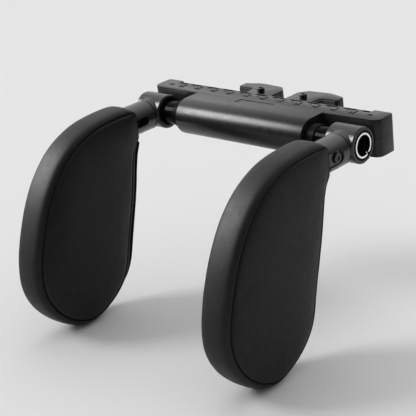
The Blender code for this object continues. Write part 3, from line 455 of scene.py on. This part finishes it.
def relaxed_patch(ring):
    """A square grid of 2-D points inside a ring of 4 x PATCH points, evened out."""
    rim = np.array(ring)[:, 1:]
    corner = [rim[k * PATCH] for k in range(4)]
    side = [np.array([rim[(k * PATCH + i) % RING_POINTS] for i in range(PATCH + 1)]) for k in range(4)]
    u, v = np.meshgrid(np.linspace(0, 1, PATCH + 1), np.linspace(0, 1, PATCH + 1), indexing="ij")
    u, v = u[..., None], v[..., None]
    low, high = side[0][:, None, :], side[2][::-1][:, None, :]
    right, left = side[1][None, :, :], side[3][::-1][None, :, :]
    grid = low * (1 - v) + high * v + left * (1 - u) + right * u
    grid -= corner[0] * (1 - u) * (1 - v) + corner[1] * u * (1 - v)
    grid -= corner[2] * u * v + corner[3] * (1 - u) * v
    for _ in range(RELAX_STEPS):
        around = grid[:-2, 1:-1] + grid[2:, 1:-1] + grid[1:-1, :-2] + grid[1:-1, 2:]
        grid[1:-1, 1:-1] = around / 4
    return grid


def add_patch(bm, ring_verts, grid, levels):
    verts = {}
    for k in range(PATCH):
        verts[k, 0] = ring_verts[k]
        verts[PATCH, k] = ring_verts[PATCH + k]
        verts[PATCH - k, PATCH] = ring_verts[2 * PATCH + k]
        verts[0, PATCH - k] = ring_verts[3 * PATCH + k]
    for i in range(PATCH + 1):
        for j in range(PATCH + 1):
            if (i, j) not in verts:
                verts[i, j] = bm.verts.new((levels[i, j], *grid[i, j]))
    for i in range(PATCH):
        for j in range(PATCH):
            bm.faces.new((verts[i, j], verts[i + 1, j], verts[i + 1, j + 1], verts[i, j + 1]))


def pad_mesh(name):
    """The sewn cover before it is filled, and the points that its seams and its neck hold still."""
    rings, face_count, free, outline = pad_rings()
    bm = bmesh.new()
    rows = [[bm.verts.new(p) for p in ring] for ring in rings]
    for first, second in zip(rows, rows[1:]):
        for i in range(RING_POINTS):
            j = (i + 1) % RING_POINTS
            bm.faces.new((first[i], first[j], second[j], second[i]))
    grid = relaxed_patch(rings[0])
    levels = face_levels(grid.reshape(-1, 2), outline).reshape(PATCH + 1, PATCH + 1)
    add_patch(bm, rows[0], grid, levels)
    add_patch(bm, rows[-1], grid, -levels)
    bmesh.ops.recalc_face_normals(bm, faces=bm.faces)
    bm.verts.index_update()
    seams = (face_count, len(rows) - 1 - face_count)
    held = {v.index for k in seams for row in rows[k - 1:k + 2] for v in row}
    for row in rows:
        held.update(v.index for v, f in zip(row, free) if f < 0.5)
    crease = bm.edges.layers.float.new("crease_edge")
    for k in seams:
        for i in range(RING_POINTS):
            edge = bm.edges.get((rows[k][i], rows[k][(i + 1) % RING_POINTS]))
            edge[crease] = 1.0
            edge.smooth = False
    mesh = bpy.data.meshes.new(name)
    bm.to_mesh(mesh)
    bm.free()
    return mesh, sorted(held)


def points_of(mesh):
    flat = np.zeros(len(mesh.vertices) * 3)
    mesh.vertices.foreach_get("co", flat)
    return flat.reshape(-1, 3)


def fill_with_foam(pad, held):
    """Puffs the cover up with a short cloth run, in which no point moves further than its cap."""
    group = pad.vertex_groups.new(name="held")
    group.add(held, 1.0, "REPLACE")
    start = points_of(pad.data)
    cloth = pad.modifiers.new("Cloth", "CLOTH")
    settings = cloth.settings
    settings.quality = 7
    settings.mass = 0.25
    settings.tension_stiffness = settings.compression_stiffness = 18
    settings.shear_stiffness = 12
    settings.bending_stiffness = 6.0
    settings.use_pressure = True
    settings.uniform_pressure_force = PUFF
    settings.vertex_group_mass = "held"
    settings.effector_weights.gravity = 0
    cloth.collision_settings.use_collision = False
    for number in range(1, SETTLE_FRAMES + 1):
        SCENE.frame_set(number)
    graph = bpy.context.evaluated_depsgraph_get()
    settled = points_of(pad.evaluated_get(graph).data)
    pad.modifiers.remove(cloth)
    pad.vertex_groups.clear()
    SCENE.frame_set(1)
    moved = settled - start
    length = np.linalg.norm(moved, axis=1, keepdims=True)
    on_face = np.abs(start[:, :1]) > FACE_LIP
    cap = np.where(on_face, FACE_SWELL, STRIP_SWELL)
    soft = cap * np.tanh(length / cap)
    pad.data.vertices.foreach_set("co", (start + moved * soft / np.maximum(length, 1e-9)).ravel())
    pad.data.update()


def wrinkle(mesh, held, seed):
    """Faint unevenness of hand-pulled leather: broad waves, and short puckers by the seams."""
    still = set(held)
    shift = Vector((seed * 3.7, seed * 1.3, seed * 5.1))
    for vertex in mesh.vertices:
        if vertex.index in still:
            continue
        p = vertex.co
        broad = noise.noise(p / BROAD_WAVE + shift)
        short = noise.noise(Vector((p.x / PUCKER_ACROSS, p.y / PUCKER_ALONG, p.z / PUCKER_ALONG)) + shift)
        by_seam = math.exp(-((abs(p.x) - FACE_LIP) / PUCKER_REACH) ** 2)
        vertex.co = p + vertex.normal * (broad * BROAD_DEPTH + short * by_seam * PUCKER_DEPTH)


def edge_trim(side, sign):
    """Thin hard edge that goes on from the foot of the spine round the lower rear curve."""
    base = resampled(pad_base()[0], FINE_POINTS)
    path = [(p, n) for p, n in zip(base, outward_normals(base))
            if TRIM_FOOT_Z < p.y < TRIM_TOP_Z and n.x > REARWARD]
    inner, outer = sign * (PAD_X - TRIM_INNER), sign * (PAD_X + TRIM_OUTER)
    bm = bmesh.new()
    rows = []
    for p, n in path:
        share = (p.y - TRIM_FOOT_Z) / (TRIM_TOP_Z - TRIM_FOOT_Z)
        rise = (TRIM_SEAT + TRIM_THICKNESS) * share * (2 - share)
        low, high = p + n * (rise - TRIM_THICKNESS), p + n * rise
        corners = (inner, low), (inner, high), (outer, high), (outer, low)
        rows.append([bm.verts.new((x, q.x, q.y)) for x, q in corners])
    for first, second in zip(rows, rows[1:]):
        for i in range(4):
            j = (i + 1) % 4
            bm.faces.new((first[i], first[j], second[j], second[i]))
    bm.faces.new(rows[0])
    bm.faces.new(rows[-1])
    bmesh.ops.recalc_face_normals(bm, faces=bm.faces)
    mesh = bpy.data.meshes.new(side + "_edge_trim")
    bm.to_mesh(mesh)
    bm.free()
    smooth(mesh)
    piece = new_piece(mesh.name, mesh, side + "_pad", SLOTS[side + "_pad_spine"])
    round_edges(piece, TRIM_EDGE)


def make_pad(side, sign):
    mesh, held = pad_mesh(side + "_pad")
    body = side + "_pad"
    pad = bpy.data.objects.new(body + "_filled", mesh)
    SCENE.collection.objects.link(pad)
    fill_with_foam(pad, held)
    wrinkle(mesh, held, 1 if sign < 0 else 2)
    mesh.transform(Matrix.Translation((sign * PAD_X, 0, 0)))
    mesh.materials.append(LOOKS["leather"])
    mesh.shade_smooth()
    finer = pad.modifiers.new("Finer", "SUBSURF")
    finer.levels = finer.render_levels = 1
    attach(pad, body)
    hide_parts(side + "_pad_cover", side + "_pad_foam")


# Marks on the top of the bar

MARK_RISE = 0.06 * MM
MARK_SUNK = 0.05 * MM
MARK_INSET = 0.04 * MM            # how much smaller the top of a raised bar is, all round
STROKE_MORE = 0.22 * MM           # how much bolder the numerals are than their font
NUMERAL_SIZE = 6 * MM
NUMERAL_LEFT = 3.5 * MM           # from its tick
NUMERAL_BACK = 6 * MM             # from the rear ends of the ticks towards the front
MARKS_REAR_Y = BAR_REAR_Y - 1.4 * MM
TICKS_EACH_WAY = 10
# Length and half width of the ticks
LONG_TICK = (8.5 * MM, 0.85 * MM)
SHORT_TICK = (3 * MM, 0.45 * MM)
# Arrow by each end of the scale: its place, its head and its shaft
ARROW_X = 116 * MM
ARROW_BACK = 4.5 * MM
ARROW_TIP = 3.4 * MM
ARROW_NECK = 1.2 * MM
ARROW_HALF = 2.2 * MM
SHAFT_HALF_LENGTH = 3.6 * MM
SHAFT_HALF_WIDTH = 0.5 * MM


def text_mesh(words, size, place):
    curve = bpy.data.curves.new("words", "FONT")
    curve.body = words
    curve.size = size
    curve.align_x = "CENTER"
    curve.align_y = "CENTER"
    curve.extrude = MARK_RISE
    curve.offset = STROKE_MORE
    obj = bpy.data.objects.new("words", curve)
    SCENE.collection.objects.link(obj)
    bpy.context.view_layer.update()
    graph = bpy.context.evaluated_depsgraph_get()
    mesh = bpy.data.meshes.new_from_object(obj.evaluated_get(graph), depsgraph=graph)
    bpy.data.objects.remove(obj, do_unlink=True)
    bpy.data.curves.remove(curve)
    mesh.transform(Matrix.Translation(place))
    return mesh


def bar_mark(bm, low, high):
    """A thin raised bar with its top edges taken off."""
    rings = []
    for inset, z in ((0, HALF_HEIGHT - MARK_SUNK), (MARK_INSET, HALF_HEIGHT + MARK_RISE)):
        x0, y0 = low[0] + inset, low[1] + inset
        x1, y1 = high[0] - inset, high[1] - inset
        rings.append([bm.verts.new((x, y, z)) for x, y in ((x0, y0), (x1, y0), (x1, y1), (x0, y1))])
    lower, upper = rings
    bm.faces.new(upper)
    for i in range(4):
        j = (i + 1) % 4
        bm.faces.new((lower[i], lower[j], upper[j], upper[i]))


def scale_marks():
    """Graduation of the bar: a long tick and a numeral every 20 mm, short ticks between them."""
    bm = bmesh.new()
    for step in range(-TICKS_EACH_WAY, TICKS_EACH_WAY + 1):
        x = step * SCALE_PITCH / 2
        main = step % 2 == 0
        length, half = LONG_TICK if main else SHORT_TICK
        bar_mark(bm, (x - half, MARKS_REAR_Y - length), (x + half, MARKS_REAR_Y))
        if main:
            place = (x - NUMERAL_LEFT, MARKS_REAR_Y - NUMERAL_BACK, HALF_HEIGHT)
            words = text_mesh(str(abs(step) // 2), NUMERAL_SIZE, place)
            bm.from_mesh(words)
            bpy.data.meshes.remove(words)
    for sign in (-1, 1):
        x, y = sign * ARROW_X, MARKS_REAR_Y - ARROW_BACK
        neck = x - sign * ARROW_NECK
        head = (x + sign * ARROW_TIP, y), (neck, y + ARROW_HALF), (neck, y - ARROW_HALF)
        bm.faces.new([bm.verts.new((px, py, HALF_HEIGHT + MARK_RISE)) for px, py in head])
        bar_mark(bm, (x - SHAFT_HALF_LENGTH, y - SHAFT_HALF_WIDTH),
                 (x + SHAFT_HALF_LENGTH, y + SHAFT_HALF_WIDTH))
    bmesh.ops.recalc_face_normals(bm, faces=bm.faces)
    mesh = bpy.data.meshes.new("scale_marks")
    bm.to_mesh(mesh)
    bm.free()
    mesh.materials.append(MARK_PRINT_AND_SLOT_SHADE)
    new_piece("scale_marks", mesh, "cross_bar", "dark_plastic")


# Hard pieces

# Radius of the rounded edges, in mm
EDGE_WIDTHS = {
    "housing_top": 0.5, "housing_bottom": 0.5, "clamp_rail": 0.25, "tube": 0.25, "tube_bush": 0.2,
    "tube_plug": 0.2, "knuckle": 0.25, "arm_sleeve": 0.2, "neck_screw": 0.15, "neck_nut": 0.15,
    "clamp_jaw": 0.25, "jaw_liner": 0.25, "clamp_screw": 0.15, "clamp_nut": 0.15, "pad_spine": 0.25,
}

# Where the bare metal of an outer end begins
BARE_FROM = {"tube": 125 * MM, "tube_bush": 82.9 * MM}
BARE_FACING = 0.3                 # least share away from the bar's middle of its faces' directions
# Inside of the rail's slots, where matt black is painted in as shade
SLOTS_FRONT_Y = BAR_REAR_Y + 0.4 * MM
SLOTS_REAR_Y = -0.9 * MM
SLOTS_MARGIN = 0.1 * MM           # above a slot's floor, and below the rail's top


def plain_name(node):
    for side, _ in SIDES:
        node = node.removeprefix(side + "_")
    return node


def bare_end(piece, sign, start):
    """Bare metal on the faces past start that look away from the bar's middle."""
    piece.data.materials.append(CHROME)
    for face in piece.data.polygons:
        if face.center.x * sign > start and face.normal.x * sign > BARE_FACING:
            face.material_index = 1


def shade_painted_slots(piece):
    """Painted shade: matt black inside the slots of the rail, standing in for the shade where hardly any
    light gets in.
    """
    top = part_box("clamp_rail")[1].z
    low, high = top - SLOT_DEPTH - SLOTS_MARGIN, top - SLOTS_MARGIN
    piece.data.materials.append(MARK_PRINT_AND_SLOT_SHADE)
    for face in piece.data.polygons:
        x, y, z = face.center
        if abs(x) < SLOTS_END_X and SLOTS_FRONT_Y < y < SLOTS_REAR_Y and low < z < high:
            face.material_index = 1


def dress_hard_pieces():
    for node, obj in NODES.items():
        obj.data.materials.clear()
        obj.data.materials.append(LOOKS[SLOTS[node]])
        width = EDGE_WIDTHS.get(plain_name(node))
        if width is None:
            continue
        piece = dressed(node, width * MM)
        # the faces inside the rail's slots get matt black paint as painted shade
        if node == "clamp_rail":
            shade_painted_slots(piece)
        if plain_name(node) == "arm_sleeve":
            piece.data.materials[0] = SLEEVE_LOOK
        start = BARE_FROM.get(plain_name(node))
        if start:
            bare_end(piece, -1 if node.startswith("left") else 1, start)


# Studio

# Two soft suns, by the direction that each shines from
KEY_FROM = (-0.66, -0.42, 0.62)
KEY_WIDTH = 22                    # degrees that the soft light spans
KEY_STRENGTH = 1.65
FILL_FROM = (0.3, 0.2, 1)
FILL_WIDTH = 120
FILL_STRENGTH = 0.8
# Panel that shows only as a highlight
PANEL_FROM = (-0.647, -0.48, 0.592)
PANEL_AWAY = 1.6
PANEL_SIZE = (1.5, 0.69)
PANEL_POWER = 60
SKY_DARK = 0.06                   # strength of the surroundings where no bright part lies
# Bright parts of the surroundings: (direction, where they begin and are full, strength)
SKY_PARTS = (((-0.55, 0.75, 0.35), 0.35, 0.85, 0.95), ((0, 0, 1), 0.1, 0.75, 0.42))
FLOOR_COLOUR = (0.645, 0.645, 0.645)
FLOOR_REACH = 6.0
FLOOR_GAP = 0.2 * MM


def studio():
    mesh = bpy.data.meshes.new("floor")
    reach, level = FLOOR_REACH, FLOOR_Z - FLOOR_GAP
    corners = (-reach, -reach), (reach, -reach), (reach, reach), (-reach, reach)
    mesh.from_pydata([(x, y, level) for x, y in corners], [], [(0, 1, 2, 3)])
    mesh.materials.append(Look("floor", FLOOR_COLOUR, 0.9, Specular_IOR_Level=0.0).material)
    floor = bpy.data.objects.new("floor", mesh)
    SCENE.collection.objects.link(floor)

    for name, towards, width, strength in (("key", KEY_FROM, KEY_WIDTH, KEY_STRENGTH),
                                           ("fill", FILL_FROM, FILL_WIDTH, FILL_STRENGTH)):
        lamp = bpy.data.lights.new(name, "SUN")
        lamp.angle = math.radians(width)
        lamp.energy = strength
        sun = bpy.data.objects.new(name, lamp)
        SCENE.collection.objects.link(sun)
        sun.matrix_world = Vector(towards).to_track_quat("Z", "Y").to_matrix().to_4x4()
        sun.visible_glossy = False
    highlight_panel()
    surroundings()


def highlight_panel():
    """A long panel that shows only as a reflection in the smooth black parts."""
    lamp = bpy.data.lights.new("panel", "AREA")
    lamp.shape = "RECTANGLE"
    lamp.size, lamp.size_y = PANEL_SIZE
    lamp.energy = PANEL_POWER
    panel = bpy.data.objects.new("panel", lamp)
    SCENE.collection.objects.link(panel)
    back = Vector(PANEL_FROM).normalized()
    along = (Vector((1, 0, 0)) - back * back.x).normalized()
    turn = Matrix((along, back.cross(along), back)).transposed().to_4x4()
    panel.matrix_world = Matrix.Translation(Vector((0, AXIS_Y, 0)) + back * PANEL_AWAY) @ turn
    panel.visible_diffuse = False


def surroundings():
    """A studio round the part: pale wall behind it, softer light from above, dark towards the front."""
    world = bpy.data.worlds.new("studio")
    world.use_nodes = True
    SCENE.world = world
    tree = world.node_tree
    direction = tree.nodes.new("ShaderNodeTexCoord").outputs["Generated"]
    total = None
    for towards, low, high, strength in SKY_PARTS:
        dot = tree.nodes.new("ShaderNodeVectorMath")
        dot.operation = "DOT_PRODUCT"
        dot.inputs[1].default_value = Vector(towards).normalized()
        tree.links.new(direction, dot.inputs[0])
        part = tree.nodes.new("ShaderNodeMapRange")
        part.interpolation_type = "SMOOTHSTEP"
        for socket, number in zip(MAP_SOCKETS, (low, high, 0, strength)):
            part.inputs[socket].default_value = number
        tree.links.new(dot.outputs["Value"], part.inputs["Value"])
        sum_node = tree.nodes.new("ShaderNodeMath")
        sum_node.inputs[1].default_value = SKY_DARK
        tree.links.new(part.outputs["Result"], sum_node.inputs[0])
        if total:
            tree.links.new(total, sum_node.inputs[1])
        total = sum_node.outputs["Value"]
    background = tree.nodes["Background"]
    background.inputs["Color"].default_value = (1, 1, 1, 1)
    tree.links.new(total, background.inputs["Strength"])


# Camera

# Found from points of the photo, with lengths in pitches of the scale
CAMERA_TURN = (44.19, 21.895, -6.625)         # azimuth, elevation and roll in degrees
CAMERA_PLACE = (-2.773, -5.072, 58.357)       # right, up and back from the scale's middle
FOCAL_PIXELS = 1281.9
PHOTO_PIXELS = 416
SENSOR_WIDTH = 36


def camera():
    azimuth, elevation, roll = (math.radians(a) for a in CAMERA_TURN)
    back = Vector((math.sin(azimuth) * math.cos(elevation), -math.cos(azimuth) * math.cos(elevation),
                   math.sin(elevation)))
    level = Vector((math.cos(azimuth), math.sin(azimuth), 0))
    above = back.cross(level)
    right = level * math.cos(roll) + above * math.sin(roll)
    up = above * math.cos(roll) - level * math.sin(roll)
    turn = Matrix((right, up, back)).transposed().to_4x4()
    middle = Vector((0, BAR_REAR_Y, HALF_HEIGHT))
    eye = middle + turn @ (Vector(CAMERA_PLACE) * SCALE_PITCH)
    data = bpy.data.cameras.new("camera")
    data.sensor_width = SENSOR_WIDTH
    data.lens = FOCAL_PIXELS / PHOTO_PIXELS * SENSOR_WIDTH
    obj = bpy.data.objects.new("camera", data)
    SCENE.collection.objects.link(obj)
    obj.matrix_world = Matrix.Translation(eye) @ turn
    SCENE.camera = obj


SCENE.view_settings.view_transform = "Standard"
camera()
studio()
dress_hard_pieces()
scale_marks()
for side_name, side_sign in SIDES:
    make_pad(side_name, side_sign)
    edge_trim(side_name, side_sign)
